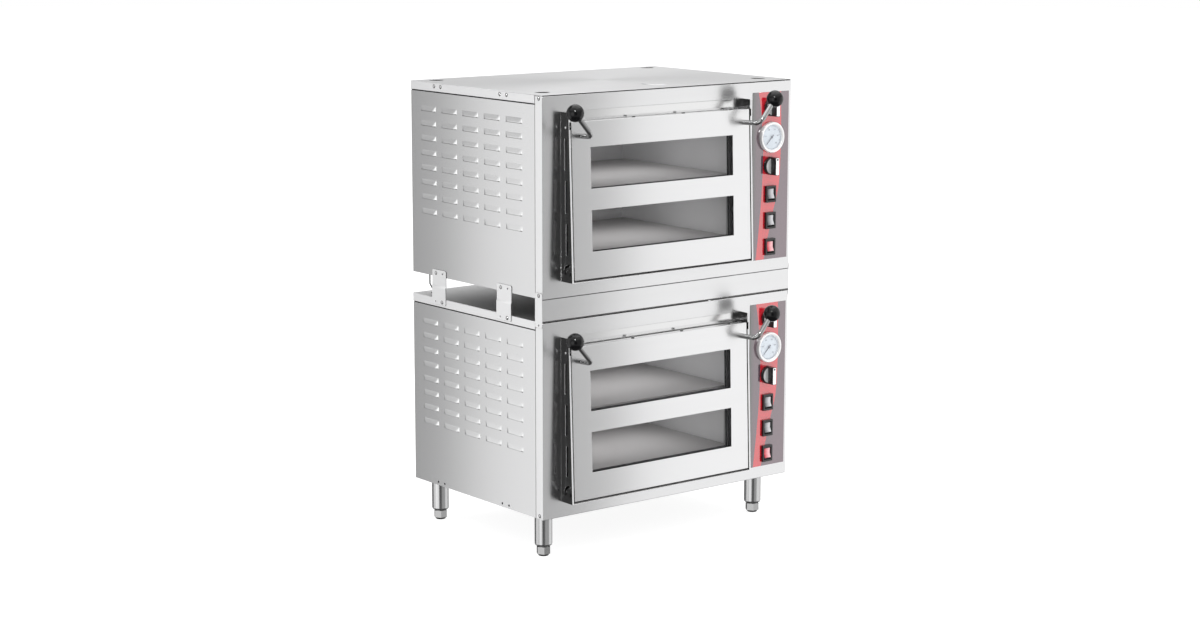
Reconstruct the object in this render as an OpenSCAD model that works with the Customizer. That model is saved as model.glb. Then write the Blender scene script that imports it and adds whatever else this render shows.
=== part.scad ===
// Two countertop deck pizza ovens in a stack. Millimetres, +X to the right, +Y to the back, +Z up.
// The origin is under the middle of the stack, on the floor.
// Inside each oven, x = 0 is its middle, y = 0 the face of its fascia and z = 0 its underside.

/* [Case] */
// Width of an oven
case_w = 750; // [745:1:760]
// Depth of an oven
case_d = 520; // [515:1:540]
// Height of an oven
case_h = 460; // [460:1:470]
// Space between the two ovens
stack_gap = 52; // [46:1:60]
// Thickness of the case sheets
sheet = 1.5; // [1.2:0.1:1.5]
// Height of the top panel's side flange
flange_h = 20; // [18:1:24]
// Depth of the fascia's side returns
return_d = 26.5; // [25:0.5:30]
// Gap along the seams between the front and top sheets
seam = 1.4; // [1:0.1:1.4]

/* [Door mouth] */
// Middle of the door, from the middle of the oven
mouth_x = -50; // [-52:1:-48]
// Width of the opening in the fascia
mouth_w = 545; // [545:1:547]
// Lower edge of the opening
mouth_z0 = 37; // [36.5:0.1:37]
// Upper edge of the opening
mouth_z1 = 421; // [420:1:423]
// How far a cheek stands out at its top
cheek_top = 28; // [28:0.5:29]
// How far a cheek stands out at its bottom
cheek_bottom = 42; // [42:0.5:44]
// Width of the cheek's front flange
cheek_flange = 4.5; // [4:0.5:4.5]

/* [Door] */
// Distance of the hinge axis in front of the fascia
hinge_y = 30; // [29.5:0.5:30.5]
// Height of the hinge axis
hinge_z = 59; // [58:1:60]
// Width of the door
door_w = 530; // [526:1:530]
// Width of both windows
window_w = 424; // [410:1:426]
// Height of each window
window_h = 94; // [88:1:96]
// Distance from the hinge axis to the lower edge of the lower window
window_low = 44.5; // [44:0.5:48]
// Distance from the hinge axis to the lower edge of the upper window
window_high = 187; // [185:0.5:189]
// Thickness of a door glass
glass_t = 3.5; // [3:0.5:3.5]
// Distance from the door's middle to a handle
handle_x = 249; // [240:1:250]
// Distance from the hinge axis to a handle
handle_v = 309; // [300:1:312]
// Diameter of the handle rod
rod_d = 12; // [10:1:12]
// Diameter of the ball knob
ball_d = 40; // [36:1:44]

/* [Controls] */
// Width of the control plate
plate_w = 116; // [110:1:116]
// Height of the control plate
plate_h = 404; // [404:1:410]
// Middle of the control plate, from the middle of the oven
plate_x = 309.5; // [309:0.5:310]
// Diameter of the thermometer
gauge_d = 74; // [70:1:76]
// Diameter of a control knob
knob_d = 44; // [40:1:46]

/* [Legs] */
// Height of a leg with its foot
leg_h = 104; // [100:1:110]
// Diameter of the leg tube
leg_d = 41.3; // [38:0.1:42]
// Distance of the legs from the middle
leg_x = 325; // [315:1:328]
// Distance of the front legs behind the fascia
leg_front = 65; // [60:1:70]
// Distance of the back legs in front of the back
leg_back = 35; // [32:1:40]

/* [Hidden] */
$fn = 48;

// Colours
steel = [0.80, 0.80, 0.81];
bright = [0.88, 0.88, 0.89];
dark_steel = [0.35, 0.35, 0.36];
black = [0.06, 0.06, 0.07];
red = [0.70, 0.05, 0.08];

// Levels of the two ovens and the place of the stack over the origin
lower_z = leg_h;
upper_z = leg_h + case_h + stack_gap;
gland_reach = 22;
half_w = case_w / 2;

// The closed door leans back by this angle
lean = atan((cheek_bottom - cheek_top) / (mouth_z1 - mouth_z0));
// Door frame: origin on the hinge axis, y away from the room, z up along the door
skin_t = 1.2;
skin_y = -(cheek_bottom - (hinge_z - mouth_z0) * tan(lean) - hinge_y) * cos(lean);
skin_inner_y = skin_y + skin_t;
door_z0 = -16.6;
door_z1 = 340;
pan_t = 1.2;
pan_w = door_w - 5;
pan_gap = 4;
pan_back_low = hinge_y - pan_gap;
pan_back_high = pan_back_low - (door_z1 - 1.5) * tan(lean);
window_grip = 5.5;
rib_y = 2.5;
seal_end_y = 11.2;

// Handle: out of the door, then up and outwards to the ball
rod_out = 56;
rod_bend = 18;
rod_rise = 72.5;
rod_splay = 40.8;
ball_bore = 14;
rod_end = rod_rise - ball_d / 2 + ball_bore;
ball_front = hinge_y - (skin_y - rod_out) * cos(lean)
    - (handle_v + rod_rise * cos(rod_splay)) * sin(lean) + ball_d / 2;
stack_y = (ball_front - case_d - gland_reach) / 2;

// Hinge and stop
pin_r = 4;
running = 0.05;
stop_r = 17;
stud_r = 2.5;
slot_half = 3.3;
cheek_t = 1.5;

// Chamber
chamber_x0 = -300;
chamber_x1 = 200;
chamber_y1 = 430;
chamber_z0 = 55;
chamber_z1 = 392;
stone_t = 15;
stone_levels = [79, 228];
stone_rail = 12;
element_levels = [66, 214, 376];
element_r = 4;
element_pitch = 80;
element_x0 = -250;
element_loops = 6;
element_front = 62;
element_back = 378;
blanket = 20;
bulb_z = 386;

// Controls
plate_t = 0.8;
plate_z0 = 28.5;
timer_z = 396;
gauge_z = 324;
thermostat_z = 255;
rocker_levels = [187, 123, 59];
shaft_r = 3;
frame_w = 31;
frame_h = 40;
frame_out = 6.8;
pocket_w = 23;
pocket_h = 30;
rocker_tilt = 9;
dial_y = -5;
capillary_r = 1.2;
bulb_r = 3;
capillary_bend = 12;

// Screw places
screw_r = 2;
hole_r = 2.05;
head_r = 3.8;
head_t = 2.2;
screw_y = 12.5;
edge_z = 8;
pair_mid = [146.5, 408.5];
pair_half = 13.2;
bracket_w = 57;
bracket_h = 83.5;

// Gland
gland_x = 300;
gland_z = 60;
gland_bore = 7.5;

module at_unit(z) {
  translate([0, stack_y, z]) children();
}

module on_both_units() {
  at_unit(lower_z) children();
  at_unit(upper_z) children();
}

module on_both_sides() {
  children();
  mirror([1, 0, 0]) children();
}

// A 2D shape given in the YZ plane, extruded along +X
module along_x(length) {
  rotate([90, 0, 90]) linear_extrude(length) children();
}

// A 2D shape given in the XZ plane, extruded along +Y
module along_y(length) {
  translate([0, length, 0]) rotate([90, 0, 0]) linear_extrude(length) children();
}

module bar_x(r, x0, x1) {
  translate([x0, 0, 0]) rotate([0, 90, 0]) cylinder(r = r, h = x1 - x0);
}

module bar_y(r, y0, y1) {
  translate([0, y0, 0]) rotate([-90, 0, 0]) cylinder(r = r, h = y1 - y0);
}

module slot(w, h) {
  translate([-w / 2, (w - h) / 2]) square([w, h - w]);
  for (z = [-1, 1]) translate([0, z * (h - w) / 2]) circle(w / 2);
}

module rounded(w, h, r) {
  translate([r, 0]) square([w - 2 * r, h]);
  translate([0, r]) square([w, h - 2 * r]);
  for (x = [r, w - r], z = [r, h - r]) translate([x, z]) circle(r);
}

// ---------- Case sheets ----------

// Screw and bracket holes through both sides of a case
module side_holes() {
  for (y = [for (m = pair_mid) each [m - pair_half, m + pair_half]], z = [edge_z, case_h - edge_z])
    translate([0, y, z]) bar_x(hole_r, -half_w - 5, half_w + 5);
  for (z = [edge_z, case_h - edge_z])
    translate([0, screw_y, z]) bar_x(hole_r, -half_w - 5, half_w + 5);
}

module fascia() {
  color(steel) difference() {
    union() {
      translate([-half_w, 0, 0]) cube([case_w, sheet, case_h - sheet - seam]);
      on_both_sides() translate([-half_w, 0, 0]) cube([sheet, return_d, case_h - sheet - seam]);
    }
    translate([mouth_x - mouth_w / 2, -1, mouth_z0])
      cube([mouth_w, sheet + 2, mouth_z1 - mouth_z0]);
    control_holes();
    side_holes();
  }
}

module control_holes() {
  translate([plate_x, 0, gauge_z]) bar_y(gauge_d / 2 - 3, -3, 3);
  for (z = [timer_z, thermostat_z]) translate([plate_x, 0, z]) bar_y(5, -3, 3);
  for (z = rocker_levels)
    translate([plate_x - frame_w / 2 + 2, -3, z - frame_h / 2 + 2]) cube([frame_w - 4, 6, frame_h - 4]);
}

module top_panel() {
  boss_x = 25;
  boss_y = 92;
  boss_r = 31;
  color(bright) difference() {
    union() {
      translate([-half_w, 0, case_h - sheet]) cube([case_w, case_d, sheet]);
      on_both_sides() translate([-half_w, return_d + seam, case_h - flange_h])
        cube([sheet, case_d - return_d - seam, flange_h]);
      translate([boss_x, boss_y, case_h - 0.5]) cylinder(r = boss_r, h = 1.6);
    }
    for (x = [-leg_x, leg_x], y = [leg_front, case_d - leg_back])
      translate([x, y, case_h - 5]) cylinder(r = 17.5, h = 10);
    side_holes();
  }
}

// One pressed louver: a hood that is open at its lower edge
module louver_hood() {
  hood = 61;
  reach = 4.5;
  difference() {
    translate([0, -hood / 2, 0]) along_y(hood) polygon([[0, 7], [reach, -5], [0, -5]]);
    translate([0, -hood / 2 + 1, 0]) along_y(hood - 2)
      polygon([[-1, 5], [reach - 1.2, -4], [reach - 1.2, -6], [-1, -6]]);
  }
}

module right_panel() {
  louver_y = [for (i = [0:4]) 107.5 + i * 85.2];
  louver_z = [for (i = [0:7]) 152 + i * 35];
  panel_x = half_w - 2 * sheet;
  color(steel) difference() {
    union() {
      translate([panel_x, sheet, 0]) cube([sheet, case_d - sheet, case_h - sheet]);
      for (y = louver_y, z = louver_z) translate([panel_x + sheet, y, z]) louver_hood();
    }
    for (y = louver_y, z = louver_z)
      translate([panel_x - 1, y - 29.5, z - 3.5]) cube([sheet + 2, 59, 6]);
    side_holes();
  }
}

module left_panel() {
  mirror([1, 0, 0]) right_panel();
}

module base_pan() {
  inner = half_w - 2 * sheet;
  color(steel) difference() {
    translate([-inner, sheet, 0]) cube([2 * inner, case_d - 2 * sheet, 25]);
    translate([-inner + sheet, 2 * sheet, sheet]) cube([2 * (inner - sheet), case_d - 4 * sheet, 30]);
    for (x = [-leg_x, leg_x], y = [leg_front, case_d - leg_back])
      translate([x, y, -1]) cylinder(r = 6.1, h = 5);
    side_holes();
    back_holes();
  }
}

module back_panel() {
  color(steel) difference() {
    translate([-half_w + 2 * sheet, case_d - sheet, 0])
      cube([case_w - 4 * sheet, sheet, case_h - sheet]);
    for (i = [0:7], x = [-250, 110])
      translate([x, case_d - 5, 360 - i * 30]) cube([140, 10, 5]);
    translate([gland_x, 0, gland_z]) bar_y(10.1, case_d - 5, case_d + 5);
    back_holes();
  }
}

module back_holes() {
  for (p = back_screws()) translate([p[0], 0, p[1]]) bar_y(hole_r, case_d - 8, case_d + 5);
}

function back_screws() = [for (x = [-355, 0, 355], z = [14, case_h - 14]) [x, z]];

// ---------- Door mouth and chamber ----------

// Outline of a cheek in the YZ plane, with its slots
module cheek_outline() {
  vent_w = 8;
  vent_l = 73;
  slope = (cheek_bottom - cheek_top) / (mouth_z1 - mouth_z0);
  difference() {
    polygon([[2 * sheet, mouth_z0], [2 * sheet, mouth_z1],
      [-cheek_top, mouth_z1], [-cheek_bottom, mouth_z0]]);
    for (z = [134.5, 230.5, 326.5])
      translate([-16.5 - 0.8 * slope * (326.5 - z), z]) slot(vent_w, vent_l);
    translate([-hinge_y, hinge_z]) circle(pin_r + running);
    translate([-hinge_y, hinge_z]) arc_slot(-4, 94);
  }
}

// Slot around the hinge axis, from angle a0 to a1 measured from +Y
module arc_slot(a0, a1) {
  reach = 60;
  intersection() {
    difference() {
      circle(stop_r + slot_half);
      circle(stop_r - slot_half);
    }
    polygon([[0, 0], [reach * cos(a0), reach * sin(a0)], [reach, reach], [reach * cos(a1), reach * sin(a1)]]);
  }
  for (a = [a0, a1]) translate([stop_r * cos(a), stop_r * sin(a)]) circle(slot_half);
}

module right_cheek() {
  edge = mouth_w / 2;
  translate([edge - cheek_t, 0, 0]) along_x(cheek_t) cheek_outline();
  // Root flange behind the fascia
  translate([edge - cheek_t, sheet, mouth_z0]) cube([14, sheet, mouth_z1 - mouth_z0]);
  // Front flange, notched at the catch
  difference() {
    translate([edge - cheek_flange, 0, 0]) along_x(cheek_flange - cheek_t / 2)
      polygon([[-cheek_bottom, mouth_z0], [-cheek_bottom + cheek_t, mouth_z0],
        [-cheek_top + cheek_t, mouth_z1], [-cheek_top, mouth_z1]]);
    translate([edge - cheek_flange - 1, -60, 382]) cube([cheek_flange - cheek_t + 1, 60, 17.5]);
  }
  // Catch stud
  translate([0, -16.5, 386.5]) bar_x(2.6, edge - 4, edge + 2);
}

// Both cheeks and the sill that joins them under the door
module door_cheeks() {
  sill_t = 1.2;
  sill_w = mouth_w - cheek_t;
  color(dark_steel) translate([mouth_x, 0, 0]) {
    on_both_sides() right_cheek();
    translate([-sill_w / 2, -cheek_bottom, mouth_z0]) cube([sill_w, cheek_bottom + sheet, sill_t]);
  }
}

module chamber() {
  frame_x0 = mouth_x - mouth_w / 2 + cheek_t;
  frame_x1 = mouth_x + mouth_w / 2 - cheek_t;
  color(dark_steel) difference() {
    union() {
      translate([frame_x0, sheet, mouth_z0]) cube([frame_x1 - frame_x0, sheet, mouth_z1 - mouth_z0]);
      translate([chamber_x0 - sheet, sheet, chamber_z0 - sheet])
        cube([chamber_x1 - chamber_x0 + 2 * sheet, chamber_y1, chamber_z1 - chamber_z0 + 2 * sheet]);
    }
    difference() {
      translate([chamber_x0, 0, chamber_z0])
        cube([chamber_x1 - chamber_x0, chamber_y1, chamber_z1 - chamber_z0]);
      // Rails that carry the stones
      for (z = stone_levels, x = [chamber_x0 - 1, chamber_x1 - stone_rail])
        translate([x, 10, z - 2]) cube([stone_rail + 1, chamber_y1, 2]);
    }
    for (z = element_levels, i = [0, element_loops - 1])
      translate([element_x0 + i * element_pitch, 0, z])
        bar_y(element_r + running, chamber_y1 - 20, chamber_y1 + 20);
    for (y = [200, 260]) translate([0, y, bulb_z]) bar_x(bulb_r + running, chamber_x1 - 5, chamber_x1 + 20);
  }
}

module insulation_blanket() {
  color("khaki") difference() {
    translate([chamber_x0 - sheet - blanket, 2 * sheet, chamber_z0 - sheet - blanket])
      cube([chamber_x1 - chamber_x0 + 2 * (sheet + blanket), chamber_y1 + blanket,
        chamber_z1 - chamber_z0 + 2 * (sheet + blanket)]);
    translate([chamber_x0 - sheet, 0, chamber_z0 - sheet])
      cube([chamber_x1 - chamber_x0 + 2 * sheet, chamber_y1 + sheet, chamber_z1 - chamber_z0 + 2 * sheet]);
    for (z = element_levels, i = [0, element_loops - 1])
      translate([element_x0 + i * element_pitch, 0, z])
        bar_y(element_r + 2, chamber_y1 - 20, chamber_y1 + 60);
    for (y = [200, 260]) translate([0, y, bulb_z]) bar_x(bulb_r + 2, chamber_x1 - 5, chamber_x1 + 60);
  }
}

module stones() {
  color("linen") for (z = stone_levels)
    translate([chamber_x0 + 3, 12, z]) cube([chamber_x1 - chamber_x0 - 6, 408, stone_t]);
}

// Half ring of element tube in the XY plane; side 1 is towards +Y
module element_bend(side) {
  rotate([0, 0, side > 0 ? 0 : 180]) rotate_extrude(angle = 180)
    translate([element_pitch / 2, 0]) circle(element_r);
}

module element() {
  last = element_loops - 1;
  for (i = [0:last])
    translate([element_x0 + i * element_pitch, 0, 0])
      bar_y(element_r, element_front, (i == 0 || i == last) ? chamber_y1 + 40 : element_back);
  for (i = [0:last - 1])
    translate([element_x0 + (i + 0.5) * element_pitch, i % 2 == 0 ? element_front : element_back, 0])
      element_bend(i % 2 == 0 ? -1 : 1);
}

module elements() {
  color([0.25, 0.24, 0.24]) for (z = element_levels) translate([0, 0, z]) element();
}

// ---------- Door ----------

// Puts the door's own frame on the closed door
module on_door() {
  translate([mouth_x, -hinge_y, hinge_z]) rotate([-lean, 0, 0]) children();
}

// Places of the screws along the top edge of the door
module on_door_screws() {
  for (x = [-221, -74, 74, 221]) translate([x, skin_y + 14.8, door_z1]) children();
}

module window_cuts(grow, y0, y1) {
  for (z = [window_low, window_high])
    translate([-window_w / 2 - grow, y0, z - grow])
      cube([window_w + 2 * grow, y1 - y0, window_h + 2 * grow]);
}

module door_skin() {
  side_d = 19;
  top_d = 23;
  bottom_d = 9;
  color(bright) on_door() difference() {
    union() {
      translate([-door_w / 2, skin_y, door_z0]) cube([door_w, skin_t, door_z1 - door_z0]);
      on_both_sides() translate([-door_w / 2, skin_y, door_z0]) cube([skin_t, side_d, door_z1 - door_z0]);
      translate([-door_w / 2, skin_y, door_z1 - skin_t]) cube([door_w, top_d, skin_t]);
      translate([-door_w / 2, skin_y, door_z0]) cube([door_w, bottom_d, skin_t]);
    }
    window_cuts(0, skin_y - 1, skin_inner_y + 1);
    bar_x(pin_r, -door_w / 2 - 1, door_w / 2 + 1);
    on_door_screws() cylinder(r = hole_r, h = 20, center = true);
  }
}

// Side view of the door pan, shrunk by t at its back and ends
module pan_outline(t) {
  polygon([[skin_inner_y - (t > 0 ? 1 : 0), -14 + t], [12 - t / 2, -14 + t], [pan_back_low - t, t / 2],
    [pan_back_high - t, door_z1 - skin_t - t], [skin_inner_y - (t > 0 ? 1 : 0), door_z1 - skin_t - t]]);
}

module door_pan() {
  rib_t = 1.2;
  color(dark_steel) on_door() difference() {
    union() {
      difference() {
        translate([-pan_w / 2, 0, 0]) along_x(pan_w) pan_outline(0);
        translate([-pan_w / 2 + pan_t, 0, 0]) along_x(pan_w - 2 * pan_t) pan_outline(pan_t);
      }
      intersection() {
        translate([-pan_w / 2, 0, 0]) along_x(pan_w) pan_outline(0);
        window_cuts(window_grip + pan_t + 0.1, skin_inner_y, pan_back_low);
      }
      on_both_sides() translate([0, stop_r * cos(lean), stop_r * sin(lean)])
        bar_x(6, pan_w / 2 - 8, pan_w / 2);
      on_both_sides() bar_x(7.5, pan_w / 2 - 8, pan_w / 2);
    }
    window_cuts(window_grip + 0.1, skin_inner_y - 1, rib_y);
    window_cuts(window_grip + 0.1, rib_y + rib_t, pan_back_low + 5);
    window_cuts(0, skin_inner_y, pan_back_low);
    on_door_screws() cylinder(r = hole_r, h = 20, center = true);
    on_both_sides() bar_x(pin_r, pan_w / 2 - 6, pan_w / 2 + 1);
    on_both_sides() translate([0, stop_r * cos(lean), stop_r * sin(lean)])
      bar_x(stud_r, pan_w / 2 - 6, pan_w / 2 + 1);
  }
}

module door_glass() {
  color([0.55, 0.58, 0.60, 0.4]) on_door() {
    window_cuts(window_grip, skin_inner_y + 0.05, skin_inner_y + glass_t);
    window_cuts(window_grip, seal_end_y, seal_end_y + glass_t);
  }
}

module door_seals() {
  color(black) on_door() {
    difference() {
      window_cuts(window_grip, skin_inner_y + glass_t, rib_y);
      window_cuts(0, skin_inner_y, rib_y + 1);
    }
    difference() {
      window_cuts(window_grip, rib_y + 1.2, seal_end_y);
      window_cuts(0, rib_y, seal_end_y + 1);
    }
  }
}

// Places a handle: its rod leaves the skin at the origin along -Y and rises along +Z
module on_handles() {
  on_door() for (side = [-1, 1])
    translate([side * handle_x, skin_y, handle_v]) rotate([0, side * rod_splay, 0]) children();
}

module handle_rods() {
  r = rod_d / 2;
  color(bright) on_handles() {
    bar_y(r, rod_bend - rod_out, 0);
    translate([0, rod_bend - rod_out, rod_bend]) rotate([90, 0, 90]) rotate([0, 0, 180])
      rotate_extrude(angle = 90) translate([rod_bend, 0]) circle(r);
    translate([0, -rod_out, rod_bend]) cylinder(r = r, h = rod_end - rod_bend);
  }
}

module handle_balls() {
  color(black) on_handles() translate([0, -rod_out, rod_rise]) difference() {
    sphere(r = ball_d / 2);
    translate([0, 0, -ball_d / 2 - 1]) cylinder(r = rod_d / 2 + running, h = ball_bore + 1);
  }
}

// Hinge pins, the studs that run in the arc slots and the screws of the top edge
module door_fasteners() {
  face = mouth_w / 2 + 0.5;
  color(bright) on_door() on_both_sides() {
    bar_x(pin_r, pan_w / 2 - 6, face);
    bar_x(6.5, face, face + 2);
    translate([0, stop_r * cos(lean), stop_r * sin(lean)]) {
      bar_x(stud_r, pan_w / 2 - 6, face);
      bar_x(4.6, face, face + 2);
    }
  }
  color(bright) on_door() on_door_screws() {
    translate([0, 0, -5]) cylinder(r = screw_r, h = 5);
    cylinder(r = head_r, h = head_t);
  }
}

// ---------- Controls ----------

module control_plate() {
  color([0.20, 0.13, 0.16]) difference() {
    translate([plate_x - plate_w / 2, -plate_t, plate_z0]) cube([plate_w, plate_t, plate_h]);
    control_holes();
  }
}

// Thermometer: bezel and case, with the dial inside and the lens in front
module gauge() {
  r = gauge_d / 2;
  inner = r - 6;
  color(bright) translate([plate_x, 0, gauge_z]) {
    difference() {
      union() {
        bar_y(r, -11, -plate_t);
        bar_y(r - 3.5, -plate_t, 28);
      }
      bar_y(inner, -12, dial_y);
      bar_y(inner - 1, dial_y + 1.2, 26);
      bar_y(1.5 + running, dial_y - 1, dial_y + 3);
    }
    bar_y(inner, -10, -8.5);
  }
}

module gauge_needle() {
  color(black) translate([plate_x, 0, gauge_z]) {
    bar_y(1.5, dial_y - 2, dial_y + 4);
    bar_y(3, dial_y - 2.2, dial_y - 1);
    translate([0, dial_y - 2.2, 0]) rotate([0, -135, 0]) along_y(0.9)
      polygon([[-1.4, -7], [1.4, -7], [0.4, 25], [-0.4, 25]]);
  }
}

// Capillary tube: straight back, up, then sideways through the chamber wall to the bulb
module capillary(x0, z0, y0, y1) {
  b = capillary_bend;
  translate([x0, 0, z0]) bar_y(capillary_r, y0, y1 - b);
  translate([x0, y1 - b, z0 + b]) rotate([90, 0, 90]) rotate([0, 0, -90])
    rotate_extrude(angle = 90) translate([b, 0]) circle(capillary_r);
  translate([x0, y1, z0 + b]) cylinder(r = capillary_r, h = bulb_z - z0 - 2 * b);
  translate([x0 - b, y1, bulb_z - b]) rotate([90, 0, 0])
    rotate_extrude(angle = 90) translate([b, 0]) circle(capillary_r);
  translate([0, y1, bulb_z]) bar_x(capillary_r, chamber_x1 + 60, x0 - b);
  translate([0, y1, bulb_z]) bar_x(bulb_r, chamber_x1 - 70, chamber_x1 + 60);
}

module control_body(z, w, d) {
  translate([plate_x, 0, z]) difference() {
    translate([-w / 2, sheet, -w / 2]) cube([w, d, w]);
    bar_y(shaft_r + running, 0, 22);
  }
}

// Works of the timer and the thermostat behind the plate
module control_bodies() {
  color("dimgray") control_body(timer_z, 46, 42);
  color("silver") control_body(thermostat_z, 42, 36);
}

module capillaries() {
  color("peru") {
    capillary(plate_x + 8, gauge_z, 28, 260);
    capillary(plate_x - 8, thermostat_z, 36 + sheet, 200);
  }
}

module knob(z) {
  r = knob_d / 2;
  grip_w = 11;
  color(black) translate([plate_x, 0, z]) {
    bar_y(r, -10, -1.6);
    intersection() {
      bar_y(r, -28, -9);
      translate([-grip_w / 2, -28, -r]) cube([grip_w, 19, knob_d]);
    }
    bar_y(shaft_r, -3, 20);
  }
}

module switch_frame(z) {
  color(black) translate([plate_x, 0, z]) difference() {
    union() {
      translate([-frame_w / 2, -frame_out, -frame_h / 2]) cube([frame_w, frame_out - plate_t, frame_h]);
      translate([-frame_w / 2 + 2, -plate_t, -frame_h / 2 + 2]) cube([frame_w - 4, 28, frame_h - 4]);
    }
    translate([-pocket_w / 2, -10, -pocket_h / 2]) cube([pocket_w, 17, pocket_h]);
    translate([0, 1, 0]) bar_x(1.5 + running, -pocket_w / 2 - 1.5, pocket_w / 2 + 1.5);
  }
}

module rocker(z, tint) {
  w = pocket_w - 0.8;
  color(tint) translate([plate_x, 1, z]) rotate([-rocker_tilt, 0, 0]) {
    translate([-w / 2, 0, 0]) along_x(w)
      polygon([[-7, 13.8], [-4.4, 0], [-7, -13.8], [2.5, -12.6], [2.5, 12.6]]);
    bar_x(1.5, -pocket_w / 2 - 1.2, pocket_w / 2 + 1.2);
  }
}

module terminal_block() {
  color("ivory") difference() {
    translate([gland_x - 40, 440, sheet]) cube([80, 26, 32]);
    for (i = [-2:2]) translate([gland_x + i * 15, 453, sheet + 22]) cylinder(r = 3, h = 20);
  }
}

module cord_gland() {
  color(black) translate([gland_x, 0, gland_z]) difference() {
    union() {
      bar_y(10, case_d - sheet - 10, case_d);
      translate([0, case_d, 0]) rotate([-90, 0, 0]) cylinder(r = 15, h = 7, $fn = 6);
      bar_y(12, case_d + 7, case_d + gland_reach - 3);
      translate([0, case_d + gland_reach - 3, 0]) rotate([-90, 0, 0]) cylinder(r1 = 12, r2 = 9.5, h = 3);
      translate([0, case_d - sheet - 6, 0]) rotate([-90, 0, 0]) cylinder(r = 15, h = 6, $fn = 6);
    }
    bar_y(gland_bore, case_d - 30, case_d + 30);
  }
}

// ---------- Legs and stacking parts ----------

function leg_places() = [for (x = [-leg_x, leg_x], y = [leg_front, case_d - leg_back]) [x, y]];

// Round leg tube with a rolled lower rim and a threaded bush for the foot
module leg_tube() {
  r = leg_d / 2;
  foot_z = 24;
  color(bright) rotate_extrude() difference() {
    polygon([[8 + running, foot_z], [r - 5, foot_z], [r - 1.5, foot_z + 1.5], [r, foot_z + 5],
      [r, leg_h], [6, leg_h], [6, leg_h + 12], [0, leg_h + 12], [0, leg_h - 3], [8 + running, leg_h - 3]]);
    translate([12, foot_z + 12]) square([r - 12 - 1.5, leg_h - 3 - foot_z - 12]);
  }
}

module leg_tubes() {
  for (p = leg_places()) at_unit(0) translate([p[0], p[1], 0]) leg_tube();
}

module foot(side, place) {
  x = side * leg_x;
  color(bright) at_unit(0) translate([x, place, 0]) {
    cylinder(r1 = 11.5, r2 = 15, h = 5);
    translate([0, 0, 5]) cylinder(r = 17, h = 17, $fn = 6);
    translate([0, 0, 22]) cylinder(r = 12, h = 1.7);
    translate([0, 0, 23.7]) cylinder(r = 8, h = 50);
  }
}

// Tie plate on the side of both cases, stepped over the lower case's top flange
module side_bracket() {
  low = case_h - edge_z - 7;
  high = low + bracket_h;
  step_z = case_h + stack_gap / 2;
  x = half_w;
  intersection() {
    along_y(bracket_w) polygon([[x, low], [x + sheet, low], [x + sheet, step_z], [x, step_z + 5],
      [x, high], [x - sheet, high], [x - sheet, step_z + 5], [x, step_z]]);
    translate([x - 3, 0, low]) along_x(8) rounded(bracket_w, bracket_h, 5);
  }
}

module bracket_holes(y) {
  for (h = [-pair_half, pair_half], z = [case_h - edge_z, case_h + stack_gap + edge_z])
    translate([0, y + h, z]) bar_x(hole_r, -half_w - 9, half_w + 9);
}

module side_brackets() {
  color(steel) at_unit(lower_z) difference() {
    for (y = pair_mid) on_both_sides() translate([0, y - bracket_w / 2, 0]) side_bracket();
    for (y = pair_mid) bracket_holes(y);
  }
}

module filler_panel() {
  tab_over = 14.5;
  tab_h = stack_gap + 2 * tab_over;
  fold_y = sheet - 0.4;
  color(bright) at_unit(lower_z) difference() {
    union() {
      translate([-half_w - sheet, 0, case_h + seam]) cube([case_w + 2 * sheet, sheet, stack_gap - 2 * seam]);
      for (z = [case_h, case_h + stack_gap - sheet])
        translate([-half_w, fold_y, z]) cube([case_w, 20 - fold_y, sheet]);
      on_both_sides() translate([half_w, 0, case_h - tab_over]) along_x(sheet) rounded(return_d, tab_h, 5);
    }
    for (z = [case_h - edge_z, case_h + stack_gap + edge_z])
      translate([0, screw_y, z]) bar_x(hole_r, -half_w - 9, half_w + 9);
  }
}

// Screw on the right side, its head resting on the surface at x
module side_screw(x, y, z) {
  translate([0, y, z]) {
    bar_x(screw_r, x - 6, x);
    bar_x(head_r, x, x + head_t);
  }
}

module case_screws() {
  color(bright) {
    at_unit(lower_z) on_both_sides() {
      side_screw(half_w, screw_y, edge_z);
      side_screw(half_w + sheet, screw_y, case_h + stack_gap + edge_z);
      for (m = pair_mid) {
        side_screw(half_w + sheet, m - pair_half, case_h - edge_z);
        side_screw(half_w, m + pair_half, case_h + stack_gap + edge_z);
      }
    }
    at_unit(upper_z) on_both_sides()
      for (y = [screw_y, for (m = pair_mid) each [m - pair_half, m + pair_half]])
        side_screw(half_w, y, case_h - edge_z);
    on_both_units() for (p = back_screws()) translate([p[0], 0, p[1]]) {
      bar_y(screw_r, case_d - 6, case_d);
      bar_y(head_r, case_d, case_d + head_t);
    }
  }
}

// Bonding wire between the two cases, with a tag at each end
module bond_wire() {
  wire_r = 1.6;
  x = -350;
  y = 484;
  path = [[x, y, case_h + stack_gap - wire_r - 0.2], [x, y, case_h + 24], [x + 8, y, case_h + 10],
    [x + 8, y, case_h + wire_r + 0.2]];
  color(black) at_unit(lower_z) {
    for (i = [0:len(path) - 2]) hull() {
      translate(path[i]) sphere(r = wire_r, $fn = 10);
      translate(path[i + 1]) sphere(r = wire_r, $fn = 10);
    }
    translate([x, y, case_h + stack_gap - 1.2]) cylinder(r = 4, h = 1.2);
    translate([x + 8, y, case_h]) cylinder(r = 4, h = 1.2);
  }
}

clear_tint = [0.55, 0.55, 0.57];

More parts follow.
